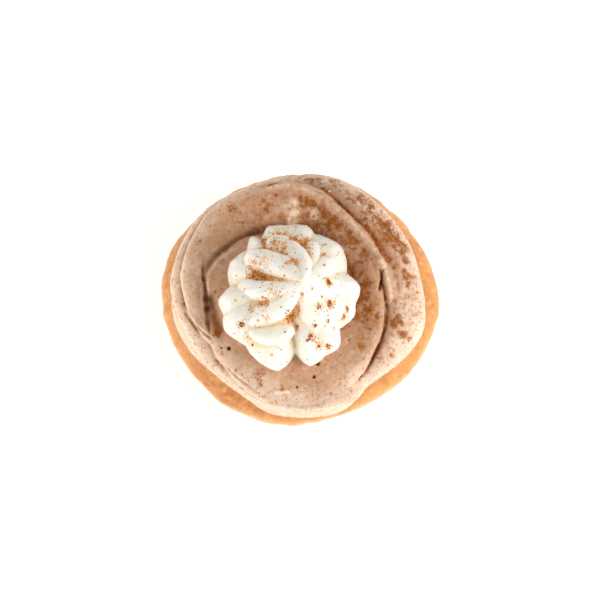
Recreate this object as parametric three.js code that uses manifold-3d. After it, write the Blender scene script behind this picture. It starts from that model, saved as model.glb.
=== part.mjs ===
import * as THREE from "three";
import { mergeVertices } from "three/addons/utils/BufferGeometryUtils.js";
import Module from "manifold-3d";

// A filled raised doughnut: a round fried bun with no hole, brown buttercream swept over its top in one
// spiral ribbon, and a rosette of whipped cream piped a little off the middle.
// Millimetres and degrees, +Z up. The origin is under the middle of the bun, on the surface it rests on.

const wasm = await Module();
wasm.setup();

// The bun
const BUN_LENGTH = 90; // along X
const BUN_DEPTH = 85; // along Y
const BUN_HEIGHT = 31;
const WAIST_HEIGHT = 15; // where the bun is widest
const SOLE_DEPTH = 16.5; // how far down the lower half would swell, past the flat that it rests on
const SHOULDER_POWER = 2.4; // over 2 makes the shoulder fuller than an ellipse
const BUN_SEGMENTS = 72;
const BUN_RINGS_UP = 13;
const BUN_RINGS_DOWN = 8;
const BUN_SWELLS = [
  { waves: 4, share: 0.0162, phase: 0.83 },
  { waves: 2, share: 0.0035, phase: 0.6 },
  { waves: 3, share: 0.0048, phase: 0.1 },
  { waves: 5, share: 0.0033, phase: 3.8 },
  { waves: 7, share: 0.0026, phase: 5.4 },
  { waves: 11, share: 0.002, phase: 1.2 },
  { waves: 13, share: 0.003, phase: 3.05 },
];

// The buttercream
const CLEARANCE = 0.3; // between one piece and the next
const COAT_THICKNESS = 3.4; // the first coat, under the ribbon
const COAT_ROUND = 5; // how far in from its edge the first coat reaches its full thickness
const COAT_ROOT = 3; // how deep the coat starts inside the bun, before the bun is cut from it
const COAT_SEGMENTS = 64;
const COAT_RINGS = [0.35, 0.6, 0.78, 0.88, 0.93, 0.965, 0.99, 1];

// The bulges and dips of the coat's edge, going round: direction and distance from the middle of the bun.
const COAT_EDGE = [
  [12, 37.5],
  [38, 36.1],
  [80, 39.0],
  [92, 38.2],
  [118, 37.1],
  [158, 41.4],
  [178, 40.5],
  [192, 41.1],
  [234, 38.4],
  [262, 41.0],
  [286, 41.3],
  [305, 38.5],
  [340, 41.0],
];

// The rosette
const ROSETTE_CENTRE = new THREE.Vector3(-3.3, -6.6, 33.6); // on the buttercream
const ROSETTE_HEIGHT = 20.5;
const LOWER_HEIGHT = 10.6;
const TIER_OFFSET = new THREE.Vector2(0.8, 0.9); // from the rosette's middle to its upper tier's
const PEAK_OFFSET = new THREE.Vector2(3.8, -1.1); // the peak was pulled off to one side

const degrees = THREE.MathUtils.degToRad;
const mix = THREE.MathUtils.lerp;
const polar = (angle, radius) =>
  new THREE.Vector2(radius * Math.cos(degrees(angle)), radius * Math.sin(degrees(angle)));

// Height of the bun's skin over a point.
function bunTop(x, y) {
  const share = Math.hypot(x / (BUN_LENGTH / 2), y / (BUN_DEPTH / 2));
  return WAIST_HEIGHT + (BUN_HEIGHT - WAIST_HEIGHT) * Math.sqrt(Math.max(0, 1 - share ** SHOULDER_POWER));
}

// Distance of the coat's edge in one direction, eased from each bulge to the next dip.
function coatEdge(angle) {
  const turn = THREE.MathUtils.euclideanModulo(angle - COAT_EDGE[0][0], 360) + COAT_EDGE[0][0];
  const i = COAT_EDGE.findLastIndex(([direction]) => direction <= turn);
  const [from, near] = COAT_EDGE[i];
  const [to, far] = COAT_EDGE[i + 1] ?? [COAT_EDGE[0][0] + 360, COAT_EDGE[0][1]];
  return mix(near, far, (1 - Math.cos((Math.PI * (turn - from)) / (to - from))) / 2);
}

function meshOf(vertices, faces) {
  const geometry = new THREE.BufferGeometry();
  geometry.setAttribute("position", new THREE.Float32BufferAttribute(vertices, 3));
  return geometry.setIndex(faces);
}

// A solid from a closed geometry, for cutting and joining.
function solidOf(geometry) {
  const bare = new THREE.BufferGeometry().setAttribute("position", geometry.getAttribute("position"));
  if (geometry.index) bare.setIndex(geometry.index);
  const welded = mergeVertices(bare, 1e-4);
  return new wasm.Manifold(
    new wasm.Mesh({
      numProp: 3,
      vertProperties: welded.attributes.position.array,
      triVerts: new Uint32Array(welded.index.array),
    }),
  );
}

// The other way round: a geometry from a solid.
function geometryOf(solid) {
  const mesh = solid.getMesh();
  const geometry = meshOf(mesh.vertProperties, Array.from(mesh.triVerts));
  geometry.computeVertexNormals();
  return geometry;
}

const joined = (solids) => solids.reduce((whole, next) => whole.add(next));

// The outer shell alone, which fills the hollows that joining seals and drops loose scraps.
const outerShell = (solid) => solid.decompose().sort((a, b) => b.volume() - a.volume())[0];

// Moves each vertex of a geometry to where the given function sends it.
function reshaped(geometry, move) {
  const position = geometry.getAttribute("position");
  const point = new THREE.Vector3();
  for (let i = 0; i < position.count; i++) {
    point.fromBufferAttribute(position, i);
    move(point);
    position.setXYZ(i, point.x, point.y, point.z);
  }
  return geometry;
}

// A closed skin over rings of points, from the pole under the first ring to the pole over the last.
function ringSolid(rings, start, end) {
  const sides = rings[0].length;
  const vertices = [...rings.flat(), start, end].flatMap((point) => point.toArray());
  const first = rings.length * sides;
  const faces = [];
  for (let j = 0; j < sides; j++) {
    const next = (j + 1) % sides;
    faces.push(first, next, j);
    faces.push(first + 1, first - sides + j, first - sides + next);
    for (let i = 0; i + 1 < rings.length; i++) {
      const [a, b] = [i * sides + j, i * sides + next];
      faces.push(a, b, b + sides, a, b + sides, a + sides);
    }
  }
  const solid = solidOf(meshOf(vertices, faces));
  return solid.volume() > 0 ? solid : solidOf(meshOf(vertices, faces.reverse()));
}

// The bun: a lathe of a full-shouldered profile, pushed in and out a little round its waist.
function bunGeometry(grown = 0) {
  const waist = BUN_LENGTH / 2 + grown;
  const point = (turn, height) =>
    new THREE.Vector2(
      waist * Math.cos(turn) ** (2 / SHOULDER_POWER),
      WAIST_HEIGHT + (height + grown) * Math.sin(turn),
    );
  const soleTurn = Math.asin(Math.min(1, (WAIST_HEIGHT + grown) / (SOLE_DEPTH + grown)));
  const profile = [new THREE.Vector2(0, -grown)];
  for (let i = 0; i < BUN_RINGS_DOWN; i++)
    profile.push(point(soleTurn * (i / BUN_RINGS_DOWN - 1), SOLE_DEPTH));
  for (let i = 0; i < BUN_RINGS_UP; i++)
    profile.push(point((Math.PI / 2) * (i / BUN_RINGS_UP), BUN_HEIGHT - WAIST_HEIGHT));
  profile.push(new THREE.Vector2(0, BUN_HEIGHT + grown));
  const lathe = new THREE.LatheGeometry(profile, BUN_SEGMENTS).rotateX(Math.PI / 2);
  reshaped(lathe, (p) => {
    const angle = Math.atan2(p.y, p.x);
    const outward = Math.min(1, Math.hypot(p.x, p.y) / waist) ** 3;
    const swell = BUN_SWELLS.reduce(
      (sum, wave) => sum + wave.share * Math.cos(wave.waves * angle + wave.phase),
      0,
    );
    p.x *= 1 + swell * outward;
    p.y *= (1 + swell * outward) * (BUN_DEPTH / BUN_LENGTH);
  });
  lathe.computeBoundingBox();
  const box = lathe.boundingBox;
  lathe.translate(-(box.min.x + box.max.x) / 2, -(box.min.y + box.max.y) / 2, 0);
  const fit = (length, low, high) => (length + 2 * grown) / (high - low);
  return lathe.scale(fit(BUN_LENGTH, box.min.x, box.max.x), fit(BUN_DEPTH, box.min.y, box.max.y), 1);
}

// A closed band through stations, each with its place, half width, half thickness and roll in degrees.
// Run anticlockwise its side vector points outward, and a roll above 0 lifts the outer edge.
function loft(stations, { steps, sides, power }) {
  const path = new THREE.CatmullRomCurve3(stations.map((s) => s.at), false, "catmullrom");
  const forms = stations.map((s) => new THREE.Vector3(s.wide, s.thick, s.roll));
  const form = new THREE.CatmullRomCurve3(forms, false, "catmullrom");
  const up = new THREE.Vector3(0, 0, 1);
  const rounded = (value) => Math.sign(value) * Math.abs(value) ** (2 / power);
  const rings = [];
  for (let i = 0; i <= steps; i++) {
    const { x: wide, y: thick, z: roll } = form.getPoint(i / steps);
    const along = path.getTangent(i / steps);
    const side = new THREE.Vector3().crossVectors(along, up).normalize();
    const lift = new THREE.Vector3().crossVectors(side, along);
    const [across, over] = [side.clone(), lift.clone()];
    side.multiplyScalar(Math.cos(degrees(roll))).addScaledVector(over, Math.sin(degrees(roll)));
    lift.multiplyScalar(Math.cos(degrees(roll))).addScaledVector(across, -Math.sin(degrees(roll)));
    const ring = [];
    for (let j = 0; j < sides; j++) {
      const turn = (2 * Math.PI * j) / sides;
      const point = path.getPoint(i / steps);
      point.addScaledVector(side, wide * rounded(Math.cos(turn)));
      ring.push(point.addScaledVector(lift, thick * rounded(Math.sin(turn))));
    }
    rings.push(ring);
  }
  return ringSolid(rings, path.getPoint(0), path.getPoint(1));
}

// A sweep of buttercream round the middle of the bun, from rows of direction, distance from the middle,
// height of its own middle over the bun, half width, half thickness and roll.
const sweep = (rows, form) =>
  loft(
    rows.map(([angle, radius, above, wide, thick, roll]) => {
      const { x, y } = polar(angle, radius);
      return { at: new THREE.Vector3(x, y, bunTop(x, y) + above), wide, thick, roll };
    }),
    form,
  );

// A sweep whose rows give the distance in from the coat's edge.
const edgeSweep = (rows, form) =>
  sweep(
    rows.map(([angle, inset, ...rest]) => [angle, coatEdge(angle) - inset, ...rest]),
    form,
  );

// The ribbon starts beside the rosette, runs once round the bun, climbs, and ends as a flap on the left.
const RIBBON = [
  [111, 13.8, 2.4, 1.5, 1.5, 0],
  [137, 16.1, 3.4, 3.5, 2.6, -2],
  [157, 19.7, 3.8, 5.0, 2.8, -6],
  [177, 23.3, 3.8, 6.2, 2.9, -8],
  [197, 24.8, 3.5, 7.1, 2.9, -8],
  [217, 26.4, 3.2, 7.7, 3.0, -4],
  [236, 28.7, 3.2, 8.4, 3.2, 0],
  [255, 30.6, 3.2, 9.4, 3.2, -4],
  [275, 30.6, 3.2, 9.4, 3.2, -6],
  [294, 28.6, 3.2, 8.2, 3.0, -4],
  [314, 25.9, 3.2, 6.6, 2.8, 4],
  [333, 23.9, 3.4, 5.5, 2.8, 10],
  [353, 21.6, 4.0, 4.3, 2.9, 18],
  [373, 21.0, 4.7, 5.3, 3.0, 25],
  [393, 20.1, 5.2, 5.9, 3.0, 29],
  [417, 19.9, 5.4, 6.1, 3.0, 31],
  [441, 22.9, 5.2, 7.2, 3.2, 31],
  [460, 24.2, 5.0, 7.9, 3.2, 28],
  [481, 26.0, 4.7, 8.2, 3.2, 20],
  [501, 28.5, 4.6, 7.7, 3.0, 11],
  [521, 31.2, 4.8, 6.0, 2.9, 2],
  [536, 32.8, 5.2, 4.5, 2.8, -5],
  [551, 32.8, 5.4, 3.7, 2.6, -6],
  [562, 33.2, 5.4, 2.6, 2.2, -6],
  [570, 33.7, 5.2, 1.5, 1.7, -6],
  [576, 33.8, 5.0, 0.7, 0.9, -6],
  [579, 33.9, 4.9, 0.4, 0.5, -6],
];

// The flank on the right, which the ribbon overlaps, with an inner lip of its own near the front.
const FLANK = [
  [-62, 1.0, 2.0, 0.8, 0.8, -10],
  [-54, 2.2, 2.6, 2.2, 1.8, -16],
  [-46, 3.4, 3.0, 3.6, 2.4, -20],
  [-37, 4.6, 3.3, 4.8, 2.8, -24],
  [-27, 5.9, 3.5, 6.0, 3.0, -27],
  [-15, 7.0, 3.6, 7.0, 3.1, -28],
  [0, 6.8, 3.7, 7.2, 3.1, -30],
  [20, 6.4, 3.6, 7.0, 3.0, -30],
  [45, 6.2, 3.6, 7.2, 3.0, -30],
  [65, 6.2, 3.4, 6.6, 3.0, -30],
  [80, 5.0, 2.6, 5.0, 2.6, -30],
  [92, 3.6, 1.6, 3.2, 2.0, -26],
  [100, 3.0, 1.0, 1.0, 1.0, -20],
];

// The rolled rim, from the back round the left to the front.
const RIM = [
  [88, 2.0, 0.8, 0.8, 0.8, -20],
  [100, 2.4, 1.4, 2.2, 2.0, -24],
  [140, 2.6, 1.8, 2.6, 2.6, -22],
  [180, 2.6, 2.2, 2.8, 3.0, -16],
  [225, 3.3, 2.6, 3.7, 3.0, -20],
  [262, 4.0, 3.4, 4.2, 3.4, -38],
  [290, 3.8, 3.0, 4.2, 3.2, -38],
  [304, 3.0, 1.8, 3.0, 2.2, -26],
  [316, 2.6, 1.0, 1.0, 1.0, -20],
];

// The first coat: it follows the bun's top and rounds off at an uneven edge.
function coat() {
  const directions = Array.from({ length: COAT_SEGMENTS }, (_, j) => (360 * j) / COAT_SEGMENTS);
  const ring = (share, over) =>
    directions.map((angle) => {
      const edge = coatEdge(angle);
      const { x, y } = polar(angle, edge * share);
      const fullness = Math.min(1, (edge * (1 - share)) / COAT_ROUND);
      const thickness = COAT_THICKNESS * Math.sqrt(1 - (1 - fullness) ** 2);
      return new THREE.Vector3(x, y, bunTop(x, y) + (over ? thickness : -COAT_ROOT));
    });
  const under = COAT_RINGS.map((share) => ring(share, false));
  const over = COAT_RINGS.map((share) => ring(share, true)).reverse();
  const pole = (height) => new THREE.Vector3(0, 0, bunTop(0, 0) + height);
  return ringSolid([...under, ...over], pole(-COAT_ROOT), pole(COAT_THICKNESS));
}

function buttercream() {
  const sweeps = [
    edgeSweep(RIM, { steps: 40, sides: 10, power: 2.2 }),
    edgeSweep(FLANK, { steps: 34, sides: 12, power: 2.4 }),
    sweep(RIBBON, { steps: 94, sides: 12, power: 2.3 }),
  ];
  return outerShell(joined([coat(), ...sweeps]).subtract(solidOf(bunGeometry(CLEARANCE))));
}

// The rosette's lower tier, ridge by ridge: direction of the crest at the top and at the rim, reach,
// direction of the groove that follows at the rim, and how deep that groove is beside the others.
const LOWER_RIDGES = [
  [9, 7, 21.9, 22, 0.9],
  [50, 46, 22.8, 69, 0.45],
  [80, 77, 23.5, 92, 0.2],
  [108, 106, 23.6, 115, 0.7],
  [126, 122, 22.6, 132, 0.6],
  [154, 150, 21.3, 171, 0.9],
  [188, 185, 21.9, 198, 0.3],
  [213, 210, 22.4, 230, 0.8],
  [261, 262, 24.2, 276, 1.8],
  [288, 286, 23.4, 300, 0.3],
  [313, 311, 22.5, 326, 0.9],
  [346, 343, 21.0, 354, 0.3],
];

// The rings of a tier from below to its top: share of the reach, height over the rosette's foot, how far
// a groove cuts inward and downward there, and its power, low for a wide groove beside a narrow ridge.
const LOWER_RINGS = [
  [0.7, -3.4, 0.0, 0.0, 1.5],
  [0.9, -1.5, 2.2, 0.0, 1.5],
  [0.985, 1.2, 3.2, 0.0, 1.4],
  [1.0, 3.4, 3.6, 0.3, 1.3],
  [0.96, 5.6, 3.4, 0.9, 1.3],
  [0.86, 7.6, 2.6, 1.9, 1.4],
  [0.72, 9.0, 1.4, 2.6, 1.6],
  [0.58, 9.8, 0.6, 2.2, 1.8],
  [0.4, 10.4, 0.0, 0.8, 2.0],
];
const RIDGE_SAMPLES = 3; // points from a crest to a groove

// The upper tier's core, an even cone that its petals cover.
const CORE_REACH = 10.5;
const CORE_RIDGES = [0, 60, 120, 180, 240, 300].map((turn) => [turn, turn, CORE_REACH, turn + 30, 0]);
const CORE_RINGS = [
  [0.9, 3.0, 0, 0, 1],
  [1.0, 8.0, 0, 0, 1],
  [0.86, 10.5, 0, 0, 1],
  [0.65, 12.5, 0, 0, 1],
  [0.45, 14.5, 0, 0, 1],
  [0.27, 16.5, 0, 0, 1],
  [0.12, 18.5, 0, 0, 1],
];

// The petals of the upper tier: tip from the rosette's middle, how far the petal bows to the left on its
// way out, half width, the heights of its crest at the peak and at the tip, and roll.
const PETALS = [
  [16.4, 0.5, 0.3, 3.4, 20.0, 8.5, 0],
  [12.8, 10.6, -0.5, 3.4, 20.0, 9.0, 0],
  [6.6, 15.0, -0.8, 3.0, 18.5, 9.5, 0],
  [-1.4, 13.4, -2.2, 3.6, 20.2, 12.0, 5],
  [-3.4, 17.0, 2.0, 4.2, 16.0, 10.5, 10],
  [-12.4, 9.8, -2.4, 3.7, 20.2, 10.5, 18],
  [-14.0, 2.0, 2.2, 3.1, 20.2, 9.5, 14],
  [-12.0, -8.2, 2.2, 3.7, 20.0, 9.0, -8],
  [5.6, -13.0, 2.2, 3.8, 20.0, 8.5, -8],
  [11.4, -11.4, 1.0, 3.4, 19.6, 8.0, 0],
  [15.8, -6.2, 0.5, 3.4, 19.6, 8.0, 0],
];

// Along a petal: share of the way, share of the drop, share of the half width, half thickness.
const PETAL_FORM = [
  [0.0, 0.0, 0.1, 0.5],
  [0.1, 0.1, 0.4, 1.2],
  [0.25, 0.26, 0.7, 1.9],
  [0.45, 0.45, 0.95, 2.5],
  [0.7, 0.68, 1.0, 2.8],
  [0.9, 0.92, 0.95, 2.6],
  [1.0, 1.1, 0.7, 2.0],
  [1.05, 1.25, 0.3, 1.0],
];

// A fold of cream between the tiers, at the front: place, height, half width, half thickness.
const FOLD = [
  [1.4, -12.4, 9.0, 1.6, 1.4],
  [-1.2, -13.5, 9.0, 2.6, 2.0],
  [-4.8, -14.4, 8.8, 2.9, 2.2],
  [-8.6, -14.2, 8.0, 2.4, 1.9],
  [-11.6, -12.8, 7.0, 1.2, 1.0],
];

// The spokes of a tier, from each ridge's groove before it, over its crest, to the groove after it.
function spokes(ridges) {
  const ridge = (i) => {
    const lap = 360 * Math.floor(i / ridges.length);
    const [start, end, reach, groove, deep] = ridges.at(i % ridges.length);
    return { start: start + lap, end: end + lap, reach, groove: groove + lap, deep };
  };
  const spoke = (crest, beside, cut, share) => ({
    start: mix(crest.start, (crest.start + beside.start) / 2, share),
    end: mix(crest.end, cut.groove, share),
    reach: mix(crest.reach, (crest.reach + beside.reach) / 2, share ** 2),
    deep: cut.deep,
    off: share,
  });
  const steps = Array.from({ length: RIDGE_SAMPLES }, (_, k) => k / RIDGE_SAMPLES);
  return ridges.flatMap((_, i) => {
    const [before, crest, after] = [ridge(i - 1), ridge(i), ridge(i + 1)];
    return [
      ...steps.map((share) => spoke(crest, before, before, 1 - share)),
      ...steps.map((share) => spoke(crest, after, crest, share)),
    ];
  });
}

// One tier: rings whose middle moves from the middle of the rim to the top.
function tier(ridges, rings, middle, top, height) {
  const around = spokes(ridges);
  const skin = rings.map(([share, level, inward, downward, power]) =>
    around.map(({ start, end, reach, deep, off }) => {
      const cut = deep * off ** power;
      const at = polar(mix(start, end, share), reach * share - inward * cut);
      at.add(top.clone().lerp(middle, share));
      return new THREE.Vector3(at.x, at.y, level - downward * cut).add(ROSETTE_CENTRE);
    }),
  );
  const pole = (at, level) => new THREE.Vector3(at.x, at.y, level).add(ROSETTE_CENTRE);
  return ringSolid(skin, pole(middle, rings[0][1]), pole(top, height));
}

// A petal: a tapered ridge from the peak down and out to its tip.
function petal([tipX, tipY, bow, halfWidth, top, foot, roll]) {
  const way = new THREE.Vector2(tipX, tipY).sub(PEAK_OFFSET);
  const left = new THREE.Vector2(-way.y, way.x).normalize();
  const stations = PETAL_FORM.map(([share, drop, widen, thick]) => {
    const at = PEAK_OFFSET.clone().addScaledVector(way, share);
    at.addScaledVector(left, bow * 4 * share * (1 - share));
    const height = mix(top, foot, drop) - thick;
    const place = new THREE.Vector3(at.x, at.y, height).add(ROSETTE_CENTRE);
    return { at: place, wide: halfWidth * widen, thick, roll };
  });
  return loft(stations, { steps: 8, sides: 8, power: 2.3 });
}

function fold() {
  const stations = FOLD.map(([x, y, height, wide, thick]) => ({
    at: new THREE.Vector3(x, y, height).add(ROSETTE_CENTRE),
    wide,
    thick,
    roll: 0,
  }));
  return loft(stations, { steps: 10, sides: 10, power: 2 });
}

function rosette(floor) {
  const none = new THREE.Vector2();
  const lower = tier(LOWER_RIDGES, LOWER_RINGS, none, none, LOWER_HEIGHT);
  const core = tier(CORE_RIDGES, CORE_RINGS, TIER_OFFSET, PEAK_OFFSET, ROSETTE_HEIGHT - 1);
  const whole = joined([lower, core, fold(), ...PETALS.map(petal)]);
  return outerShell(whole.subtract(floor).subtract(floor.translate([0, 0, CLEARANCE])));
}

const part = new THREE.Group();

function add(name, geometry, color, roughness) {
  const material = new THREE.MeshStandardMaterial({ color, roughness, metalness: 0 });
  const mesh = new THREE.Mesh(geometry, material);
  mesh.name = name;
  part.add(mesh);
}

const cream = buttercream();
add("bun", bunGeometry(), "#e0a062", 0.55);
add("buttercream", geometryOf(cream), "#c9a080", 0.6);
add("cream_rosette", geometryOf(rosette(cream)), "#fbf3e4", 0.5);

export default part;
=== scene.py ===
from math import cos, pi, radians, sin

import bpy
import numpy as np
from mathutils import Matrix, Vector
from mathutils.kdtree import KDTree


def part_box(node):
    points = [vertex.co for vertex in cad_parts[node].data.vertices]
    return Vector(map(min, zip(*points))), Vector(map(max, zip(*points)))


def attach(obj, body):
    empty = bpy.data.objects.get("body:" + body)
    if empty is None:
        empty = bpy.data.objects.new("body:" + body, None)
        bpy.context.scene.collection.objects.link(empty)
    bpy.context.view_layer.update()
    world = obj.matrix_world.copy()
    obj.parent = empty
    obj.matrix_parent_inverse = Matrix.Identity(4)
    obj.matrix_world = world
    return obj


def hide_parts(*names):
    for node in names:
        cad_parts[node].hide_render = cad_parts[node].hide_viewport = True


# A filled raised doughnut, with swept buttercream and a piped rosette of whipped cream.
# Lengths are in millimetres until a mesh is made, and angles in degrees.

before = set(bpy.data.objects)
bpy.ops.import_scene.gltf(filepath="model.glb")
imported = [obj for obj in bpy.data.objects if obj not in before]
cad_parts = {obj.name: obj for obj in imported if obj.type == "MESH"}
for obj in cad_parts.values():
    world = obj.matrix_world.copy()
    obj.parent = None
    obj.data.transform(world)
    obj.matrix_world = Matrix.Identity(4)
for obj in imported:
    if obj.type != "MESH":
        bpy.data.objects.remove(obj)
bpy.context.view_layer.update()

MM = 0.001

# The bun, as in the solid
BUN_LENGTH, BUN_DEPTH, BUN_HEIGHT = 90.0, 85.0, 31.0
WAIST_HEIGHT = 15.0
SOLE_DEPTH = 16.5
SHOULDER_POWER = 2.4
# Waves, share and phase
BUN_SWELLS = [
    (4, 0.0162, 0.83), (2, 0.0035, 0.6), (3, 0.0048, 0.1), (5, 0.0033, 3.8), (7, 0.0026, 5.4),
    (11, 0.002, 1.2), (13, 0.003, 3.05),
]
BUN_SEGMENTS = 540
BUN_RINGS = 200

# The buttercream, as in the solid
COAT_THICKNESS = 3.4
COAT_ROUND = 5.0
COAT_ROOT = 3.0
COAT_EDGE = [
    (12, 37.5), (38, 36.1), (80, 39.0), (92, 38.2), (118, 37.1), (158, 41.4), (178, 40.5),
    (192, 41.1), (234, 38.4), (262, 41.0), (286, 41.3), (305, 38.5), (340, 41.0),
]
CREAM_VOXEL = 0.25

# The rosette, as in the solid
ROSETTE_CENTRE = np.array([-3.3, -6.6, 33.6])
ROSETTE_HEIGHT = 20.5
LOWER_HEIGHT = 10.6
TIER_OFFSET = np.array([0.8, 0.9])
PEAK_OFFSET = np.array([3.8, -1.1])
ROSETTE_VOXEL = 0.22

# The camera, at the photo's angle
CAMERA_ELEVATION = 72
CAMERA_DISTANCE = 453
CAMERA_TARGET = Vector((0, -2.65, 20))
LENS = 85
SENSOR = 36
IMAGE_SIZE = 600


# Arrays and noise

def polar(angle, radius):
    turn = np.radians(angle)
    return np.stack([radius * np.cos(turn), radius * np.sin(turn)], axis=-1)


def through(rows, steps):
    """A smooth run of rows through the given ones, as many as steps + 1."""
    rows = np.asarray(rows, float)
    padded = np.vstack([2 * rows[0] - rows[1], rows, 2 * rows[-1] - rows[-2]])
    place = np.linspace(0, len(rows) - 1, steps + 1)
    left = np.minimum(place.astype(int), len(rows) - 2)
    t = (place - left)[:, None]
    a, b, c, d = (padded[left + k] for k in range(4))
    return 0.5 * (2 * b + (c - a) * t + (2 * a - 5 * b + 4 * c - d) * t**2 + (3 * b - a - 3 * c + d) * t**3)


def lattice(ix, iy, iz, seed):
    """A fixed random value from -1 to 1 for each cell corner."""
    h = (ix * 374761393 + iy * 668265263 + iz * 2147483647 + seed * 974634777) & 0xFFFFFFFF
    h = ((h ^ (h >> 13)) * 1274126177) & 0xFFFFFFFF
    return ((h ^ (h >> 16)) & 0xFFFF) / 32767.5 - 1


def noise(points, size, seed):
    """Smooth noise from about -1 to 1; size is one number or one for each axis."""
    p = points / np.asarray(size, float)
    cell = np.floor(p).astype(np.int64)
    f = p - cell
    f = f * f * f * (f * (f * 6 - 15) + 10)
    total = 0
    for corner in range(8):
        step = np.array([corner & 1, corner >> 1 & 1, corner >> 2 & 1])
        weight = np.prod(np.where(step, f, 1 - f), axis=1)
        total = total + weight * lattice(*(cell + step).T, seed)
    return total


def fractal(points, size, octaves, seed):
    return sum(noise(points, np.asarray(size) / 2**k, seed + k) / 2**k for k in range(octaves))


def smoothstep(low, high, x):
    t = np.clip((x - low) / (high - low), 0, 1)
    return t * t * (3 - 2 * t)


# Shapes shared with the solid

def bun_top(x, y):
    share = np.hypot(x / (BUN_LENGTH / 2), y / (BUN_DEPTH / 2))
    return WAIST_HEIGHT + (BUN_HEIGHT - WAIST_HEIGHT) * np.sqrt(np.maximum(0, 1 - share**SHOULDER_POWER))


def coat_edge(angle):
    """Distance of the coat's edge, eased from each bulge to the next dip."""
    angle = np.atleast_1d(np.asarray(angle, float))
    first = COAT_EDGE[0][0]
    turn = (angle - first) % 360 + first
    directions = np.array([a for a, _ in COAT_EDGE] + [first + 360])
    radii = np.array([r for _, r in COAT_EDGE] + [COAT_EDGE[0][1]])
    i = np.clip(np.searchsorted(directions, turn, side="right") - 1, 0, len(COAT_EDGE) - 1)
    share = (turn - directions[i]) / (directions[i + 1] - directions[i])
    return radii[i] + (radii[i + 1] - radii[i]) * (1 - np.cos(pi * share)) / 2


def ring_faces(rings, sides):
    """Quads between closed rings, and fans to the two poles that follow the rings' points."""
    j = np.arange(sides)
    nxt = (j + 1) % sides
    rows = np.arange(rings - 1)[:, None] * sides
    quads = np.stack([rows + j, rows + nxt, rows + sides + nxt, rows + sides + j], axis=-1).reshape(-1, 4)
    start, last = rings * sides, (rings - 1) * sides
    fans = [(start, b, a) for a, b in zip(j, nxt)] + [(start + 1, last + a, last + b) for a, b in zip(j, nxt)]
    return quads.tolist() + [tuple(int(v) for v in f) for f in fans]


def ring_skin(rings, start, end):
    """A closed skin over an array of rings (ring, point, xyz)."""
    points = np.vstack([rings.reshape(-1, 3), start, end])
    return points, ring_faces(rings.shape[0], rings.shape[1])


def loft(stations, steps, sides, power):
    """A closed band through rows of x, y, z, half width, half thickness and roll."""
    rows = through(stations, steps)
    path, wide, thick, roll = rows[:, :3], rows[:, 3], rows[:, 4], np.radians(rows[:, 5])
    along = np.gradient(path, axis=0)
    along /= np.linalg.norm(along, axis=1, keepdims=True)
    side = np.cross(along, [0, 0, 1])
    side /= np.linalg.norm(side, axis=1, keepdims=True)
    lift = np.cross(side, along)
    c, s = np.cos(roll)[:, None], np.sin(roll)[:, None]
    across, over = side * c + lift * s, lift * c - side * s
    turn = 2 * pi * np.arange(sides) / sides
    rounded = lambda v: np.sign(v) * np.abs(v) ** (2 / power)
    u = np.maximum(wide, 0.05)[:, None] * rounded(np.cos(turn))
    v = np.maximum(thick, 0.05)[:, None] * rounded(np.sin(turn))
    rings = path[:, None] + across[:, None] * u[..., None] + over[:, None] * v[..., None]
    return ring_skin(rings, path[0], path[-1])


def stations(rows, from_edge=False):
    """Rows of direction, distance and height over the bun, turned into places."""
    rows = np.asarray(rows, float)
    radius = coat_edge(rows[:, 0]) - rows[:, 1] if from_edge else rows[:, 1]
    flat = polar(rows[:, 0], radius)
    z = bun_top(flat[:, 0], flat[:, 1]) + rows[:, 2]
    return np.column_stack([flat, z, rows[:, 3:]])


# Meshes

def mesh_object(name, points, faces, smooth=True):
    mesh = bpy.data.meshes.new(name)
    mesh.from_pydata((np.asarray(points) * MM).tolist(), [], faces)
    mesh.validate()
    mesh.polygons.foreach_set("use_smooth", np.full(len(mesh.polygons), smooth))
    obj = bpy.data.objects.new(name, mesh)
    bpy.context.scene.collection.objects.link(obj)
    return obj


def points_of(obj):
    points = np.empty(len(obj.data.vertices) * 3)
    obj.data.vertices.foreach_get("co", points)
    return points.reshape(-1, 3) / MM


def normals_of(obj):
    normals = np.empty(len(obj.data.vertices) * 3)
    obj.data.vertices.foreach_get("normal", normals)
    return normals.reshape(-1, 3)


def set_points(obj, points):
    obj.data.vertices.foreach_set("co", (points * MM).ravel())
    obj.data.update()


def fused(name, skins, voxel, smoothing):
    """One skin round several closed ones that overlap."""
    points, faces, first = [], [], 0
    for skin_points, skin_faces in skins:
        points.append(skin_points)
        faces += [tuple(v + first for v in face) for face in skin_faces]
        first += len(skin_points)
    obj = mesh_object(name, np.vstack(points), faces)
    remesh = obj.modifiers.new("fuse", "REMESH")
    remesh.mode = "VOXEL"
    remesh.voxel_size = voxel * MM
    smooth = obj.modifiers.new("soften", "SMOOTH")
    smooth.factor = 0.5
    smooth.iterations = smoothing
    graph = bpy.context.evaluated_depsgraph_get()
    mesh = bpy.data.meshes.new_from_object(obj.evaluated_get(graph))
    obj.modifiers.clear()
    obj.data = mesh
    mesh.polygons.foreach_set("use_smooth", np.full(len(mesh.polygons), True))
    return obj


# Hollows, from a map of the heights seen from above

MAP_REACH = 48.0
MAP_STEP = 0.25


def map_places(points):
    return tuple(((points[:, :2] + MAP_REACH) / MAP_STEP).round().astype(int).T)


def height_map(points):
    cells = int(2 * MAP_REACH / MAP_STEP) + 1
    heights = np.full((cells, cells), np.nan)
    order = np.argsort(points[:, 2])
    heights[map_places(points[order])] = points[order, 2]
    return heights


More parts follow.
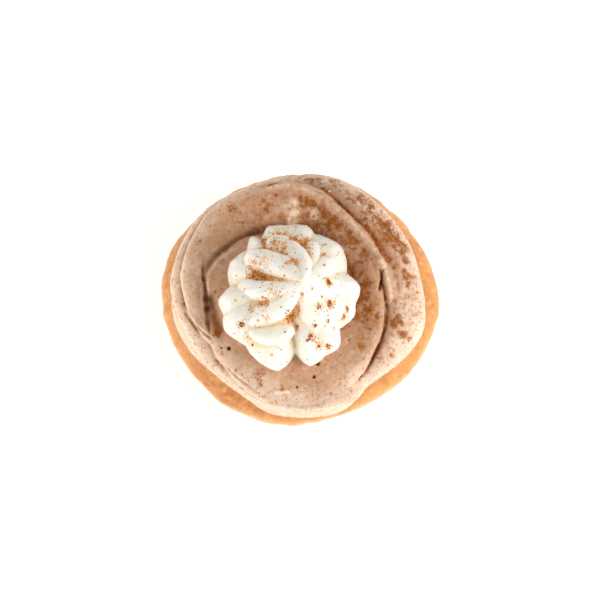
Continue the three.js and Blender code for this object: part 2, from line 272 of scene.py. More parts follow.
def blurred(heights, size):
    """A map smoothed over a size in millimetres, leaving out the cells that hold nothing."""
    reach = int(3 * size / MAP_STEP)
    bell = np.exp(-((np.arange(-reach, reach + 1) * MAP_STEP / size) ** 2) / 2)
    smear = lambda rows: np.apply_along_axis(np.convolve, 0, rows, bell, "same")
    both_ways = lambda cells: smear(smear(cells).T).T
    held = np.isfinite(heights)
    return both_ways(np.where(held, heights, 0)) / np.maximum(both_ways(held * 1.0), 1e-6)


def hollow(points, size, depth):
    """How far each point lies below its surroundings, as a share of a depth, from -1 to 1."""
    around = blurred(height_map(points), size)[map_places(points)]
    return np.clip((around - points[:, 2]) / depth, -1, 1)


# The bun

def make_bun():
    sole = np.arcsin(WAIST_HEIGHT / SOLE_DEPTH)
    down = int(BUN_RINGS * 0.4)
    lower = np.linspace(-sole, 0, down, endpoint=False)
    turns = np.concatenate([lower, np.linspace(0, pi / 2, BUN_RINGS - down)])
    radius = BUN_LENGTH / 2 * np.cos(turns).clip(1e-4) ** (2 / SHOULDER_POWER)
    depth = np.where(turns < 0, SOLE_DEPTH, BUN_HEIGHT - WAIST_HEIGHT)
    height = WAIST_HEIGHT + depth * np.sin(turns)
    angle = 2 * pi * np.arange(BUN_SEGMENTS) / BUN_SEGMENTS
    swell = sum(share * np.cos(waves * angle + phase) for waves, share, phase in BUN_SWELLS)
    outward = (radius / (BUN_LENGTH / 2)) ** 3
    scale = 1 + outward[:, None] * swell
    x = radius[:, None] * np.cos(angle) * scale
    y = radius[:, None] * np.sin(angle) * scale * BUN_DEPTH / BUN_LENGTH
    z = np.repeat(height[:, None], BUN_SEGMENTS, axis=1)
    rings = np.stack([x, y, z], axis=-1)
    points, faces = ring_skin(rings, [0, 0, 0], [0, 0, BUN_HEIGHT])
    bun = mesh_object("fried_bun", points, faces)
    relief_bun(bun)
    return bun


def relief_bun(bun):
    points, normals = points_of(bun), normals_of(bun)
    angle = np.arctan2(points[:, 1], points[:, 0])
    around = np.column_stack([np.cos(angle) * 45, np.sin(angle) * 45, points[:, 2]])
    lumps = 0.28 * fractal(points, 9, 2, 3)
    wrinkles = 0.22 * noise(around, (3.2, 3.2, 14), 11) * smoothstep(6, 14, points[:, 2])
    pimples = 0.07 * fractal(points, 1.5, 2, 21)
    moved = points + normals * (lumps + wrinkles + pimples)[:, None]
    moved[:, 2] = np.where(points[:, 2] < 0.02, points[:, 2], np.maximum(moved[:, 2], 0.05))
    low, high = (np.array(corner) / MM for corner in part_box("bun"))
    for axis in range(3):
        a, b = moved[:, axis].min(), moved[:, axis].max()
        moved[:, axis] = low[axis] + (moved[:, axis] - a) * (high[axis] - low[axis]) / (b - a)
    set_points(bun, moved)


# The buttercream: direction, distance, height over the bun, half width, half thickness, roll

RIBBON = [
    (111, 13.8, 2.4, 1.5, 1.5, 0), (137, 16.1, 3.4, 3.5, 2.6, -2), (157, 19.7, 3.8, 5.0, 2.8, -6),
    (177, 23.3, 3.8, 6.2, 2.9, -8), (197, 24.8, 3.5, 7.1, 2.9, -8), (217, 26.4, 3.2, 7.7, 3.0, -4),
    (236, 28.7, 3.2, 8.4, 3.2, 0), (255, 30.6, 3.2, 9.4, 3.2, -4), (275, 30.6, 3.2, 9.4, 3.2, -6),
    (294, 28.6, 3.2, 8.2, 3.0, -4), (314, 25.9, 3.2, 6.6, 2.8, 4), (333, 23.9, 3.4, 5.5, 2.8, 10),
    (353, 21.6, 4.0, 4.3, 2.9, 18), (373, 21.0, 4.7, 5.3, 3.0, 25), (393, 20.1, 5.2, 5.9, 3.0, 29),
    (417, 19.9, 5.4, 6.1, 3.0, 31), (441, 22.9, 5.2, 7.2, 3.2, 31), (460, 24.2, 5.0, 7.9, 3.2, 28),
    (481, 26.0, 4.7, 8.2, 3.2, 20), (501, 28.5, 4.6, 7.7, 3.0, 11), (521, 31.2, 4.8, 6.0, 2.9, 2),
    (536, 32.8, 5.2, 4.5, 2.8, -5), (551, 32.8, 5.4, 3.7, 2.6, -6), (562, 33.2, 5.4, 2.6, 2.2, -6),
    (570, 33.7, 5.2, 1.5, 1.7, -6), (576, 33.8, 5.0, 0.7, 0.9, -6), (579, 33.9, 4.9, 0.4, 0.5, -6),
]
FLANK = [
    (-62, 1.0, 2.0, 0.8, 0.8, -10), (-54, 2.2, 2.6, 2.2, 1.8, -16), (-46, 3.4, 3.0, 3.6, 2.4, -20),
    (-37, 4.6, 3.3, 4.8, 2.8, -24), (-27, 5.9, 3.5, 6.0, 3.0, -27), (-15, 7.0, 3.6, 7.0, 3.1, -28),
    (0, 6.8, 3.7, 7.2, 3.1, -30), (20, 6.4, 3.6, 7.0, 3.0, -30), (45, 6.2, 3.6, 7.2, 3.0, -30),
    (65, 6.2, 3.4, 6.6, 3.0, -30), (80, 5.0, 2.6, 5.0, 2.6, -30), (92, 3.6, 1.6, 3.2, 2.0, -26),
    (100, 3.0, 1.0, 1.0, 1.0, -20),
]
RIM = [
    (88, 2.0, 0.8, 0.8, 0.8, -20), (100, 2.4, 1.4, 2.2, 2.0, -24), (140, 2.6, 1.8, 2.6, 2.6, -22),
    (180, 2.6, 2.2, 2.8, 3.0, -16), (225, 3.3, 2.6, 3.7, 3.0, -20), (262, 4.0, 3.4, 4.2, 3.4, -38),
    (290, 3.8, 3.0, 4.2, 3.2, -38), (304, 3.0, 1.8, 3.0, 2.2, -26), (316, 2.6, 1.0, 1.0, 1.0, -20),
]


# Lines on the buttercream, as places from the middle of the bun
CREST = [
    (-13.3, 26.9), (-8.5, 28.8), (-4.0, 29.2), (0.0, 27.9), (4.7, 25.8), (9.4, 22.5), (14.0, 18.1),
    (18.1, 13.8), (21.1, 10.1), (23.4, 6.8), (25.6, 3.5), (26.9, -0.4), (27.7, -5.3), (27.9, -10.1),
]
SLIT = [(24.4, 2.9), (25.2, 0.9), (25.4, -1.1), (24.9, -3.4), (24.2, -5.2)]
SLIT_LIP = [(22.6, 7.9), (24.4, 5.2), (26.0, 2.2), (26.8, -1.6), (27.5, -5.2), (28.2, -8.9)]
FLANK_GROOVE = [
    (25.5, -4.6), (26.2, -6.9), (26.8, -9.1), (26.7, -11.4), (26.3, -14.9), (25.0, -19.1), (23.2, -22.9),
    (21.3, -26.7), (19.7, -29.5), (18.2, -32.3),
]
DISC_EDGE = [
    (-17.7, 10.5), (-21.1, 9.2), (-24.2, 7.2), (-26.7, 4.5), (-28.2, 1.9), (-28.9, -1.0), (-29.1, -4.3),
    (-29.2, -7.5),
]
FLAP_EDGE = [
    (-29.2, 6.8), (-30.1, 5.3), (-30.5, 3.3), (-30.2, 0.6), (-29.7, -2.0), (-29.5, -5.5), (-29.3, -8.1),
    (-29.1, -11.4), (-28.7, -14.6), (-28.1, -17.5), (-27.1, -20.2),
]
FLAP_HOLLOW = [(-28.2, -2.6), (-27.8, -6.9), (-27.0, -10.5), (-26.0, -14.0), (-24.7, -17.2), (-23.2, -20.6)]
TIP_EDGE = [(-36.3, -8.3), (-34.9, -11.4), (-33.2, -13.7), (-31.2, -16.2), (-29.0, -17.9), (-26.0, -20.6)]
FRONT_CREASE = [(-27.7, -22.8), (-24.7, -26.8), (-20.5, -30.4), (-17.6, -32.9), (-14.0, -35.3), (-9.3, -38.3)]
BACK_SLIT = [(-10.6, 29.4), (-8.4, 30.0), (-5.6, 30.5)]
ARC = [(14.6, -21.6), (13.0, -24.8), (10.5, -27.3), (7.0, -30.4), (3.6, -32.4)]
# Line, how far to its left, half width, height (below 0 for a groove), raggedness
LINES = [
    (CREST, 0.0, 1.3, 0.6, 0.3), (CREST, 2.6, 1.2, -0.5, 0.5), (CREST, -2.8, 1.2, -0.4, 0.5),
    (SLIT, 0.0, 0.34, -2.6, 0.1), (SLIT_LIP, 0.0, 0.8, 0.8, 0.3), (FLANK_GROOVE, 0.0, 0.34, -0.6, 0.2),
    (DISC_EDGE, 0.8, 0.7, 0.5, 0.3), (DISC_EDGE, -1.8, 0.9, -0.5, 0.4), (FLAP_EDGE, 0.1, 0.42, -0.95, 0.7),
    (FLAP_EDGE, -0.9, 0.6, 0.25, 0.4), (BACK_SLIT, 0.0, 0.35, -1.2, 0.3),
    (FLAP_HOLLOW, 0.0, 1.9, -1.15, 0.3), (TIP_EDGE, 0.0, 0.4, -0.8, 0.3), (TIP_EDGE, 0.8, 0.5, 0.4, 0.4),
    (FRONT_CREASE, 0.0, 0.35, -0.6, 0.4), (FRONT_CREASE, -1.3, 0.7, 0.3, 0.6),
    (ARC, 0.0, 0.35, 0.14, 0.6), (ARC, 1.1, 0.3, 0.1, 0.7), (ARC, -1.2, 0.35, 0.1, 0.7),
]
# Where the knife left the front smooth: its middle, its reach each way and how far it evens out
SMOOTH_FRONT = (2.0, -36.5)
SMOOTH_REACH = (15.0, 6.0)
SMOOTH_SIZE = 2.6
# Place and width of each pit, and how deep and wide it goes as a share of that width
PITS = [
    (-21.8, -22.7, 0.95), (-24.1, -22.4, 0.5), (5.4, -27.3, 1.0), (4.3, -31.3, 0.75), (15.0, -20.0, 0.45),
    (20.8, -18.1, 0.35), (-0.9, -34.3, 0.55),
]
PIT_DEPTH, PIT_REACH = 1.6, 0.7


def beside(points, path):
    """Distance in plan to the left of a smooth run through places, and the share of the way along it."""
    run = through(path, 240)
    step = np.gradient(run, axis=0)
    step /= np.linalg.norm(step, axis=1, keepdims=True)
    side = np.full(len(points), np.inf)
    share = np.zeros(len(points))
    flat = points[:, :2]
    close = np.flatnonzero(((flat > run.min(0) - 5) & (flat < run.max(0) + 5)).all(axis=1))
    for part in np.array_split(close, len(close) // 20000 + 1):
        gap = flat[part, None] - run
        k = np.hypot(gap[..., 0], gap[..., 1]).argmin(axis=1)
        gap = gap[np.arange(len(part)), k]
        across = step[k, 0] * gap[:, 1] - step[k, 1] * gap[:, 0]
        side[part] = np.sign(across) * np.hypot(gap[:, 0], gap[:, 1])
        share[part] = k / 240
    return side, share


def line_relief(points):
    total = np.zeros(len(points))
    for path, shift, width, height, ragged in LINES:
        side, share = beside(points, path)
        ends = smoothstep(0, 0.2, share) * smoothstep(1, 0.8, share)
        wear = 1 + ragged * noise(points, 1.6, int(100 * abs(height) + 10 * abs(shift)))
        total += height * wear * ends * np.exp(-(((side - shift) / (width * (0.4 + 0.6 * ends))) ** 2))
    for x, y, width in PITS:
        away = np.hypot(points[:, 0] - x, points[:, 1] - y)
        total -= PIT_DEPTH * width * np.exp(-((away / (PIT_REACH * width)) ** 4))
    return total


def from_edge(points):
    """How far inside the edge of the coat each point lies, seen from above."""
    angle = np.degrees(np.arctan2(points[:, 1], points[:, 0]))
    return coat_edge(angle) - np.hypot(points[:, 0], points[:, 1])


def coat():
    shares = np.concatenate([np.linspace(0.1, 0.8, 22, endpoint=False), np.linspace(0.8, 1.0, 34)])
    directions = np.linspace(0, 360, 300, endpoint=False)
    edge = coat_edge(directions)
    flat = polar(directions, edge * shares[:, None])
    fullness = np.minimum(1, edge * (1 - shares[:, None]) / COAT_ROUND)
    thickness = COAT_THICKNESS * np.sqrt(1 - (1 - fullness) ** 2)
    skin = bun_top(flat[..., 0], flat[..., 1])
    under = np.dstack([flat, skin - COAT_ROOT])
    over = np.dstack([flat, skin + thickness])[::-1]
    top = BUN_HEIGHT + COAT_THICKNESS
    return ring_skin(np.vstack([under, over]), [0, 0, BUN_HEIGHT - COAT_ROOT], [0, 0, top])


def make_buttercream():
    sweeps = [stations(RIBBON), stations(FLANK, True), stations(RIM, True)]
    forms = [(900, 56, 2.3), (340, 56, 2.4), (420, 44, 2.2)]
    skins = [coat()] + [loft(rows, *form) for rows, form in zip(sweeps, forms)]
    cream = fused("swept_buttercream", skins, CREAM_VOXEL, 3)
    relief_buttercream(cream, sweeps)
    return cream


def along_sweeps(points, sweeps):
    """Signed distance across the nearest sweep, and the distance along it."""
    tree_points, sides, runs = [], [], []
    for rows in sweeps:
        path = through(rows[:, :3], 400)
        step = np.gradient(path, axis=0)
        side = np.cross(step, [0, 0, 1])
        tree_points.append(path)
        sides.append(side / np.linalg.norm(side, axis=1, keepdims=True))
        runs.append(np.cumsum(np.linalg.norm(step, axis=1)) + 200 * len(runs))
    centres, sides, runs = np.vstack(tree_points), np.vstack(sides), np.concatenate(runs)
    tree = KDTree(len(centres))
    for i, centre in enumerate(centres):
        tree.insert(centre, i)
    tree.balance()
    nearest = np.array([tree.find(p)[1] for p in points])
    across = np.einsum("ij,ij->i", points - centres[nearest], sides[nearest])
    return across, runs[nearest]


def relief_buttercream(cream, sweeps):
    points, normals = points_of(cream), normals_of(cream)
    across, run = along_sweeps(points, sweeps)
    lane = np.column_stack([across, run, np.zeros(len(run))])
    patchy = smoothstep(-0.5, 0.6, noise(points, 14, 5))
    streaks = 0.13 * noise(lane, (1.4, 22, 1), 31) + 0.05 * noise(lane, (0.6, 9, 1), 37)
    lumps = 0.3 * fractal(points, 11, 2, 41)
    grain = 0.06 * fractal(points, 1.1, 3, 51)
    top = smoothstep(0.1, 0.4, normals[:, 2])
    relief = lumps + streaks * (0.2 + 0.8 * patchy) + grain + line_relief(points) * top
    moved = smoothed_front(points, normals) + normals * relief[:, None]
    floor = bun_top(moved[:, 0], moved[:, 1]) - 0.4
    moved[:, 2] = np.maximum(moved[:, 2], floor)
    set_points(cream, moved)


def smoothed_front(points, normals):
    """The points with the creases wiped out where the knife left the front smooth."""
    x, y = ((points[:, :2] - SMOOTH_FRONT) / SMOOTH_REACH).T
    share = smoothstep(1.3, 0.6, np.hypot(x, y)) * smoothstep(0.0, 0.25, normals[:, 2])
    around = blurred(height_map(points), SMOOTH_SIZE)[map_places(points)]
    return points + np.outer(share * (around - points[:, 2]), [0, 0, 1])


# The rosette: crest direction at the top and at the rim, reach, groove after it, its depth

LOWER_RIDGES = [
    (9, 7, 21.9, 22, 0.9), (50, 46, 22.8, 69, 0.45), (80, 77, 23.5, 92, 0.2), (108, 106, 23.6, 115, 0.7),
    (126, 122, 22.6, 132, 0.6), (154, 150, 21.3, 171, 0.9), (188, 185, 21.9, 198, 0.3),
    (213, 210, 22.4, 230, 0.8), (261, 262, 24.2, 276, 1.8), (288, 286, 23.4, 300, 0.3),
    (313, 311, 22.5, 326, 0.9), (346, 343, 21.0, 354, 0.3),
]
# Share of the reach, height, how far a groove cuts inward and downward, and its power: a low one is a wide
# groove beside a narrow ridge
LOWER_RINGS = [
    (0.7, -3.4, 0.0, 0.0, 1.5), (0.9, -1.5, 2.2, 0.0, 1.5), (0.985, 1.2, 3.2, 0.0, 1.4),
    (1.0, 3.4, 3.6, 0.3, 1.3), (0.96, 5.6, 3.4, 0.9, 1.3), (0.86, 7.6, 2.6, 1.9, 1.4),
    (0.72, 9.0, 1.4, 2.6, 1.6), (0.58, 9.8, 0.6, 2.2, 1.8), (0.4, 10.4, 0.0, 0.8, 2.0),
]
# The upper tier's core, which its petals cover
CORE_REACH = 10.5
CORE_RIDGES = [(turn, turn, CORE_REACH, turn + 30, 0) for turn in range(0, 360, 60)]
CORE_RINGS = [
    (0.9, 3.0, 0, 0, 1), (1.0, 8.0, 0, 0, 1), (0.86, 10.5, 0, 0, 1), (0.65, 12.5, 0, 0, 1),
    (0.45, 14.5, 0, 0, 1), (0.27, 16.5, 0, 0, 1), (0.12, 18.5, 0, 0, 1),
]
# A petal of the upper tier: its tip from the rosette's middle, how far it bows to the left, half width,
# the heights of its crest at the peak and at the tip, and roll
PETALS = [
    (16.4, 0.5, 0.3, 3.4, 20.0, 8.5, 0), (12.8, 10.6, -0.5, 3.4, 20.0, 9.0, 0),
    (6.6, 15.0, -0.8, 3.0, 18.5, 9.5, 0), (-1.4, 13.4, -2.2, 3.6, 20.2, 12.0, 5),
    (-3.4, 17.0, 2.0, 4.2, 16.0, 10.5, 10), (-12.4, 9.8, -2.4, 3.7, 20.2, 10.5, 18),
    (-14.0, 2.0, 2.2, 3.1, 20.2, 9.5, 14), (-12.0, -8.2, 2.2, 3.7, 20.0, 9.0, -8),
    (5.6, -13.0, 2.2, 3.8, 20.0, 8.5, -8), (11.4, -11.4, 1.0, 3.4, 19.6, 8.0, 0),
    (15.8, -6.2, 0.5, 3.4, 19.6, 8.0, 0),
]
# Along a petal: share of the way, share of the drop, share of the half width, half thickness
PETAL_FORM = [
    (0.0, 0.0, 0.1, 0.5), (0.1, 0.1, 0.4, 1.2), (0.25, 0.26, 0.7, 1.9), (0.45, 0.45, 0.95, 2.5),
    (0.7, 0.68, 1.0, 2.8), (0.9, 0.92, 0.95, 2.6), (1.0, 1.1, 0.7, 2.0), (1.05, 1.25, 0.3, 1.0),
]
PETAL_POWER = 2.3
# A fold of cream between the tiers, at the front: place, height, half width, half thickness
FOLD = [
    (1.4, -12.4, 9.0, 1.6, 1.4), (-1.2, -13.5, 9.0, 2.6, 2.0), (-4.8, -14.4, 8.8, 2.9, 2.2),
    (-8.6, -14.2, 8.0, 2.4, 1.9), (-11.6, -12.8, 7.0, 1.2, 1.0),
]


def spokes(ridges, samples):
    """Rows of start, end, reach, groove depth and share of the way from crest to groove."""
    count = len(ridges)

    def ridge(i):
        start, end, reach, groove, deep = ridges[i % count]
        lap = 360 * (i // count)
        return start + lap, end + lap, reach, groove + lap, deep

    rows = []
    for i in range(count):
        crest = ridge(i)
        for hand in (-1, 1):
            neighbour = ridge(i + hand)
            cut = neighbour if hand < 0 else crest
            for k in range(samples):
                share = 1 - k / samples if hand < 0 else k / samples
                rows.append((
                    crest[0] + (neighbour[0] - crest[0]) / 2 * share,
                    crest[1] + (cut[3] - crest[1]) * share,
                    crest[2] + (neighbour[2] - crest[2]) / 2 * share**2,
                    cut[4],
                    share,
                ))
    return np.array(rows)


def tier(ridges, rings, middle, top, height, samples=14, steps=90):
    start, end, reach, deep, phase = spokes(ridges, samples).T
    share, level, inward, downward, power = through(rings, steps).T[:, :, None]
    cut = deep * phase**power
    at = polar(start + (end - start) * share, np.maximum(reach * share - inward * cut, 0.02))
    at = at + top + (middle - top) * share[..., None]
    z = level - downward * cut
    skin = np.dstack([at, z]) + ROSETTE_CENTRE
    pole = lambda flat, z: np.array([*flat, z]) + ROSETTE_CENTRE
    return ring_skin(skin, pole(middle, rings[0][1]), pole(top, height))


def petal(tip_x, tip_y, bow, half_width, top, foot, roll):
    start, end = PEAK_OFFSET, np.array([tip_x, tip_y])
    along = (end - start) / np.linalg.norm(end - start)
    left = np.array([-along[1], along[0]])
    rows = []
    for share, drop, widen, thick in PETAL_FORM:
        flat = start + (end - start) * share + left * bow * 4 * share * (1 - share)
        crest = top + (foot - top) * drop
        at = np.array([*flat, crest - thick]) + ROSETTE_CENTRE
        rows.append((*at, half_width * widen, thick, roll))
    return loft(rows, 90, 48, PETAL_POWER)


def fold():
    rows = [(*(np.array([x, y, z]) + ROSETTE_CENTRE), wide, thick, 0) for x, y, z, wide, thick in FOLD]
    return loft(rows, 80, 48, 2)


def painted_shade_under_cream(points):
    """How far the bun's skin is tucked under the edge of the buttercream, from 0 to 1, which sets the painted
    shade there.
    """
    above = smoothstep(WAIST_HEIGHT, WAIST_HEIGHT + 4, points[:, 2])
    return smoothstep(-3.0, -0.3, from_edge(points)) * above


def make_rosette():
    none = np.zeros(2)
    skins = [
        tier(LOWER_RIDGES, LOWER_RINGS, none, none, LOWER_HEIGHT),
        tier(CORE_RIDGES, CORE_RINGS, TIER_OFFSET, PEAK_OFFSET, ROSETTE_HEIGHT - 1),
        fold(),
    ]
    skins += [petal(*row) for row in PETALS]
    rosette = fused("piped_rosette", skins, ROSETTE_VOXEL, 2)
    points, normals = points_of(rosette), normals_of(rosette)
    lumps = 0.2 * fractal(points, 6, 2, 61)
    grain = 0.045 * fractal(points, 0.8, 2, 71)
    off = points[:, :2] - ROSETTE_CENTRE[:2] - PEAK_OFFSET
    out, turn = np.hypot(off[:, 0], off[:, 1]), np.arctan2(off[:, 1], off[:, 0])
    lane = np.column_stack([11 * np.cos(turn), 11 * np.sin(turn), out])
    streaks = 0.1 * noise(lane, (0.75, 0.75, 12), 67) * smoothstep(3, 7, out)
    moved = points + normals * (lumps + grain + streaks)[:, None]
    set_points(rosette, moved)
    return rosette


# Cinnamon, as places from the middle of the bun with a radius and a share from 0 to 1

CREAM_DUST = [
    (19, 13, 12, 0.45), (4, 28, 10, 0.35), (20, -7, 8, 0.6), (-14, 24, 9, 0.25), (30, 14, 7, 0.55),
    (23, 25, 7, 0.5), (10, 20, 7, 0.5), (34, -8, 7, 0.1), (33, 5, 6, 0.15), (17, -1, 6, 0.4),
    (-16, 6, 6, 0.25), (-17.9, 17.5, 2.2, 0.3), (-10.3, 17.5, 2.0, 0.4),
]
# Clumps that the photo shows: the pixel across and down, radius in millimetres and share
CREAM_CLUMPS = [
    (376, 240, 1.2, 0.7), (400, 245, 1.3, 0.8), (390, 246, 1.6, 0.8), (377, 258, 1.2, 0.8),
    (406, 259, 1.2, 0.7), (396, 266, 1.2, 0.6), (405, 271, 0.9, 0.6), (374, 280, 1.6, 0.6),
    (360, 275, 1.6, 0.6), (407, 279, 1.6, 0.9), (412, 276, 1.1, 0.9), (389, 294, 1.2, 0.6),
    (393, 301, 1.2, 0.8), (396, 318, 1.4, 0.9), (401, 322, 1.3, 0.9), (391, 321, 1.0, 0.7),
    (367, 309, 1.9, 0.9), (378, 315, 1.9, 0.8), (356, 315, 1.1, 0.9), (403, 335, 1.2, 0.8),
    (411, 338, 0.8, 0.7), (409, 341, 0.7, 0.7), (382, 357, 1.2, 0.9), (389, 349, 0.8, 0.7),
    (391, 355, 0.8, 0.6), (362, 346, 1.1, 0.8), (361, 377, 1.2, 0.9), (370, 329, 0.7, 0.4),
    (414, 316, 0.6, 0.5), (359, 198, 1.5, 0.8), (326, 189, 1.3, 0.5), (364, 219, 2.0, 0.9),
    (346, 211, 1.3, 0.8), (374, 239, 2.0, 0.9), (389, 228, 1.8, 0.8), (386, 215, 1.2, 0.7),
    (313, 203, 2.0, 0.9), (327, 209, 2.1, 0.9), (330, 226, 2.4, 0.8), (356, 223, 1.4, 0.8),
    (306, 199, 1.2, 0.8), (307, 216, 0.9, 0.6), (232, 206, 1.8, 0.7), (261, 199, 1.4, 0.8),
    (275, 193, 1.4, 0.6), (255, 219, 1.6, 0.5), (209, 226, 0.6, 0.7), (199, 241, 0.6, 0.6),
    (281, 216, 2.0, 0.7), (286, 206, 1.2, 0.7), (299, 195, 1.4, 0.6), (196, 244, 0.6, 0.8),
    (225, 251, 1.2, 0.6), (214, 292, 1.0, 0.6), (184, 304, 0.7, 0.7), (196, 323, 0.8, 0.8),
    (217, 335, 1.6, 0.9), (210, 302, 1.0, 0.5), (190, 342, 0.5, 0.6), (244, 341, 0.8, 0.7),
    (261, 372, 1.4, 0.5), (261, 385, 1.2, 0.5), (282, 387, 0.9, 0.8), (263, 399, 0.7, 0.6),
    (240, 387, 0.6, 0.5), (214, 363, 1.0, 0.5), (235, 371, 0.6, 0.5), (197, 349, 0.6, 0.8),
    # The first three zones on the next line add painted shade between the rosette and the crest to the
    # cinnamon there.
    (320, 212, 3.6, 0.9), (334, 224, 3.6, 0.8), (348, 240, 3.6, 0.6), (291, 371, 1.6, 0.3),
    (366, 202, 2.6, 0.8), (381, 224, 3.0, 0.8), (392, 238, 2.6, 0.8), (402, 250, 2.2, 0.8),
    (384, 250, 2.6, 0.6), (384, 211, 2.0, 0.9), (392, 223, 2.0, 0.9), (400, 236, 2.0, 0.8),
    (409, 277, 1.6, 0.9), (396, 320, 2.0, 0.8),
]
ROSETTE_STAINS = [
    (267, 243, 3.2, 0.6), (300, 241, 3.4, 0.7), (293, 262, 2.0, 0.8), (309, 253, 1.4, 0.5),
    (252, 275, 1.6, 1.0), (260, 278, 1.8, 1.0), (270, 276, 1.6, 0.9), (264, 302, 1.9, 0.7),
    (299, 298, 1.2, 0.8), (295, 311, 1.4, 0.8), (290, 316, 1.6, 0.9), (320, 306, 1.4, 0.8),
    (331, 304, 1.4, 0.9), (348, 308, 1.1, 0.7), (344, 318, 0.9, 0.8), (330, 282, 1.3, 0.9),
    (312, 337, 1.2, 0.8), (320, 346, 1.1, 0.7), (329, 347, 0.9, 0.9), (240, 325, 1.0, 0.9),
    (296, 328, 0.9, 0.6), (315, 328, 1.0, 0.6), (266, 318, 1.2, 0.7), (250, 308, 1.2, 0.5),
    (248, 254, 0.6, 0.8), (323, 254, 0.9, 0.6), (313, 289, 0.8, 0.6), (299, 281, 1.2, 0.7),
    (280, 280, 0.9, 0.5), (305, 350, 0.8, 0.5), (330, 322, 0.7, 0.6), (335, 328, 0.6, 0.5),
    (326, 244, 0.5, 0.6), (327, 256, 0.5, 0.5), (339, 252, 0.5, 0.4), (332, 247, 0.5, 0.4),
    (280, 232, 2.6, 0.4), (272, 240, 4.5, 0.55), (258, 262, 4.0, 0.4), (283, 250, 3.0, 0.3),
    (272, 290, 3.0, 0.25),
]
# The pixels of the larger bits of bark
FLECKS = [
    (330, 281), (332, 284), (329, 279), (331, 303), (331, 306), (320, 306), (322, 308), (345, 318),
    (330, 322), (311, 338), (313, 336), (309, 340), (320, 346), (329, 347), (240, 325), (241, 327),
    (296, 328), (252, 276), (258, 279), (263, 277), (291, 313), (288, 317), (348, 309), (315, 328),
]
# Browner streaks on the bun, close to the buttercream
BUN_STREAKS = [
    (213, 373, 2.0, 0.7), (221, 381, 2.6, 0.9), (228, 389, 3.2, 1.0), (236, 396, 3.2, 1.0),
    (246, 403, 2.4, 0.9), (258, 411, 2.0, 0.8), (192, 366, 5.0, 0.35), (207, 386, 5.0, 0.4),
    (225, 402, 5.0, 0.4), (201, 368, 1.8, 0.6), (178, 342, 1.6, 0.6), (279, 420, 1.6, 0.5),
    (347, 411, 1.8, 0.5), (372, 402, 1.6, 0.5),
]
CREAM_BASE_DUST, ROSETTE_BASE_DUST = 0.08, 0.025  # what lies outside every zone
# Pale places on the buttercream: cream smeared thinly over it, and, in the last three, a painted highlight on
# the left lip
SMEARS_AND_LIP_HIGHLIGHT = [
    (-2.2, 23.6, 1.5, 1.0), (-1.9, 21.0, 1.6, 1.0), (-2.6, 18.8, 1.5, 0.8), (4.4, 19.9, 1.7, 0.7),
    (-4.6, 21.6, 2.6, 0.35), (-38.5, 2.0, 6.0, 0.5), (-36.8, -12.0, 5.0, 0.4), (-37.0, 13.0, 5.0, 0.4),
]
# Where the buttercream is paler although it lies well inside the edge: painted light on the flank that faces
# the key light, which also holds less cinnamon
PALE_LIT_FLANK = [(35.0, -8.0, 7.0, 0.8), (33.0, -17.0, 6.0, 0.7), (29.0, -26.0, 6.0, 0.4)]
# Ridges with a painted highlight along them: line, how far to its left, half width, share
RIDGE_HIGHLIGHTS = [
    (CREST, 0.0, 0.8, 0.4), (SLIT_LIP, 0.0, 0.8, 0.3), (DISC_EDGE, 0.8, 0.5, 0.25),
    (FLAP_EDGE, -0.9, 0.5, 0.25), (FRONT_CREASE, -1.0, 0.6, 0.4),
]


def painted_ridge_highlight(points):
    """How far each point lies on one of the ridges that carry a painted highlight."""
    share = np.zeros(len(points))
    for path, shift, width, strength in RIDGE_HIGHLIGHTS:
        side, way = beside(points, path)
        ends = smoothstep(0, 0.1, way) * smoothstep(1, 0.9, way)
        share = np.maximum(share, strength * ends * np.exp(-(((side - shift) / width) ** 2)))
    return share


def zone_share(points, zones):
    """The strongest of several round zones at each point, each fading outward."""
    share = np.zeros(len(points))
    for *centre, radius, strength in zones:
        away = np.sum((points[:, :len(centre)] - centre) ** 2, axis=1)
        share = np.maximum(share, strength * np.exp(-away / radius**2))
    return share


def seen_points(points, pixels):
    """Which of the points the camera sees at each pixel, across and down."""
    tilt = radians(CAMERA_ELEVATION)
    ahead, up = np.array([0, cos(tilt), -sin(tilt)]), np.array([0, sin(tilt), cos(tilt)])
    away = points - (np.array(CAMERA_TARGET) - ahead * CAMERA_DISTANCE)
    depth = away @ ahead
    scale = LENS / SENSOR * IMAGE_SIZE / depth
    across, down = IMAGE_SIZE / 2 + away[:, 0] * scale, IMAGE_SIZE / 2 - away @ up * scale
    found = []
    for x, y in pixels:
        near = np.flatnonzero(np.hypot(across - x, down - y) < 1)
        found.append(near[depth[near].argmin()])
    return np.array(found)


def seen_zones(points, rows):
    """Zones round the points that the camera sees at the pixels that start each row."""
    found = seen_points(points, [row[:2] for row in rows])
    return [(*points[i], *row[2:]) for i, row in zip(found, rows)]


def dust_share(obj, zones, base, gather, seed):
    """How thickly cinnamon lies, from 0 to 1, more in hollows and broken into soft clumps."""
    points, normals = points_of(obj), normals_of(obj)
    clumps = 0.5 + 0.5 * fractal(points, 2.6, 3, seed)
    gathered = np.clip(1 + gather * hollow(points, 1.0, 0.6), 0.1, 3)
    facing = smoothstep(0.1, 0.6, normals[:, 2])
    return np.clip((base + zone_share(points, zones)) * (0.45 + 1.1 * clumps) * gathered * facing, 0, 0.9)


def painted_fold_shade(points):
    """How deep a place on the buttercream lies among its folds, from 0 to 1; its colour takes painted shade
    by this share.
    """
    folds = smoothstep(0.0, 0.8, hollow(points, 3.0, 1.6)) * smoothstep(2.0, 6.0, from_edge(points))
    grooves = smoothstep(0.25, 1.3, -line_relief(points))
    return np.maximum(folds, grooves)


def set_share(obj, name, share):
    layer = obj.data.attributes.new(name, "FLOAT", "POINT")
    layer.data.foreach_set("value", np.clip(share, 0, 1).astype(np.float32))


